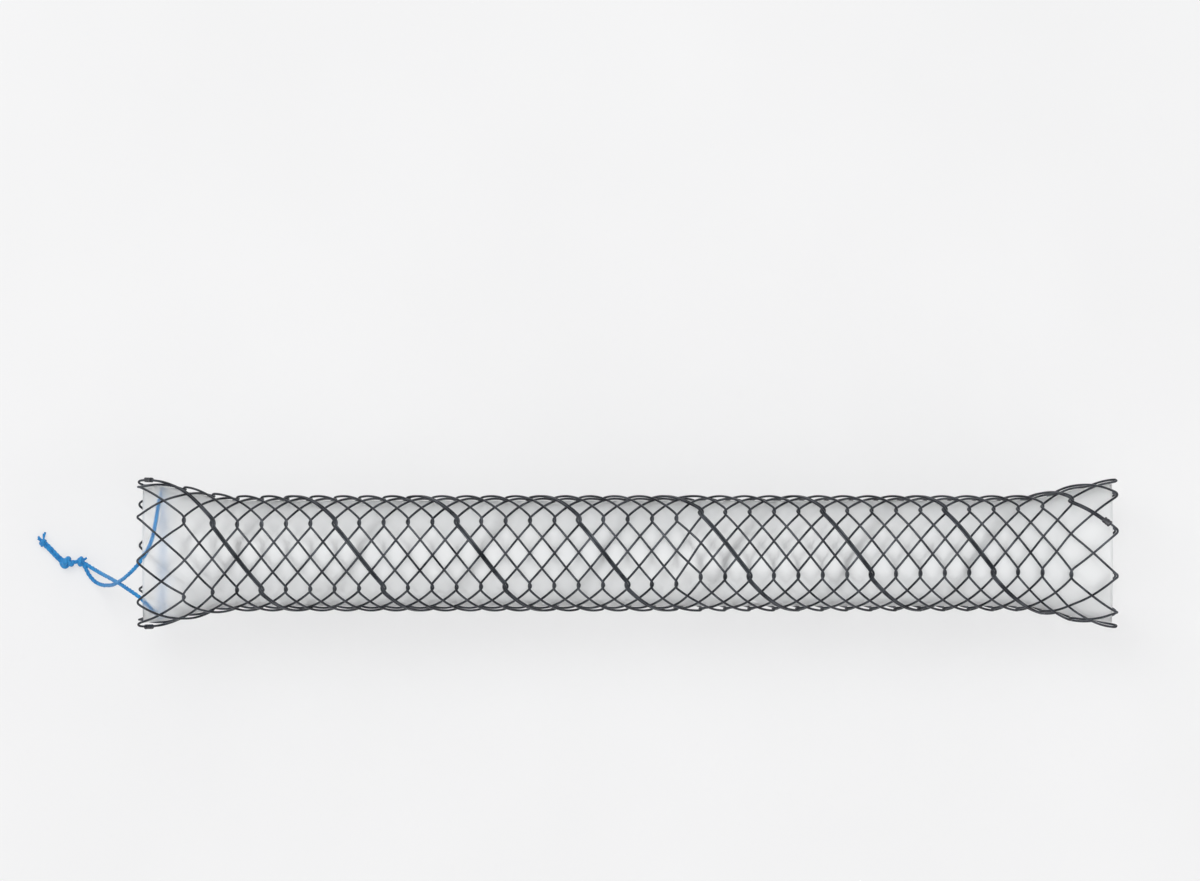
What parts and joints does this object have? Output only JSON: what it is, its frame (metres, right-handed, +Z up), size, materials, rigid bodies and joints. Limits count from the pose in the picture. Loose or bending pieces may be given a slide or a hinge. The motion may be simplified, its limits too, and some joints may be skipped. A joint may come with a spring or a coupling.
{
  "type": "biliary stent",
  "caption": "Slim hook-and-cross braided tube with a flared mouth at each end, a thin clear cover inside the braid, and a knotted retrieval lasso at one mouth.",
  "frame": {"origin": "middle of the stent's length and width, on the surface that it lies on", "axes": "+X along the stent, from the mouth with the lasso to the other mouth; +Z up; -Y to the picture's lower edge"},
  "size_m": [0.0775, 0.0109, 0.0106],
  "materials": {
    "braid_wire": "smooth drawn nickel-titanium wire",
    "cover_film": "clear, slightly milky silicone film",
    "crimp_metal": "dark crimped tube",
    "lasso_thread": "blue braided suture"
  },
  "bodies": {
    "root": {"braid_wire_a": "braid_wire", "braid_wire_b": "braid_wire", "silicone_cover": "cover_film", "crimp_sleeve_1": "crimp_metal", "crimp_sleeve_2": "crimp_metal", "crimp_sleeve_3": "crimp_metal", "crimp_sleeve_4": "crimp_metal", "lasso_loop": "lasso_thread", "lasso_knot_first": "lasso_thread", "lasso_link": "lasso_thread", "lasso_knot_second": "lasso_thread", "lasso_tail": "lasso_thread", "lasso_knot_end": "lasso_thread"}
  },
  "joints": []
}
